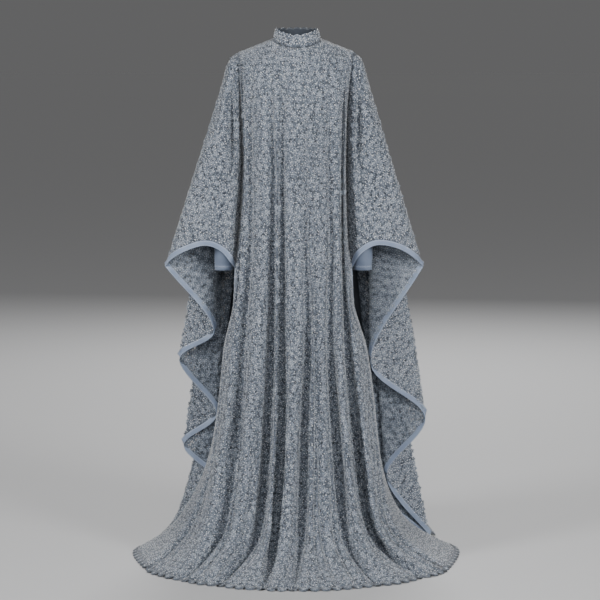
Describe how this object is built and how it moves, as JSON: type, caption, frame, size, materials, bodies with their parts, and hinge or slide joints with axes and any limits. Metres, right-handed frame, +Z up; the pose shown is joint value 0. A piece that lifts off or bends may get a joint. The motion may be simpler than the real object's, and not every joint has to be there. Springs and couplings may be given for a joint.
{
  "type": "kaftan",
  "caption": "Floor-length kaftan of beaded flower lace with a high collar, wide wing sleeves edged in satin ribbon and narrow satin under-sleeves.",
  "frame": {"origin": "between the shoulders, where the wearer holds the garment up, 1.45 m above the floor", "axes": "+Z up, -Y to the front, +X to the right of a viewer in front"},
  "size_m": [0.9344, 0.9996, 1.5106],
  "materials": {
    "lace": "blue-grey beaded flower lace over a dark slate lining",
    "net_lace": "unlined blue-grey beaded flower lace on a fine net",
    "ribbon": "pale blue-grey satin ribbon",
    "satin": "blue-grey satin"
  },
  "bodies": {
    "root": {"front_panel": "lace", "back_panel": "lace", "hem_edging_front": "lace", "hem_edging_back": "lace", "sleeve_front_left": "net_lace", "sleeve_front_right": "net_lace", "sleeve_back_left": "net_lace", "sleeve_back_right": "net_lace", "binding_front_left": "ribbon", "binding_front_right": "ribbon", "binding_back_left": "ribbon", "binding_back_right": "ribbon", "collar": "lace", "under_sleeve_left": "satin", "under_sleeve_right": "satin"}
  },
  "joints": []
}
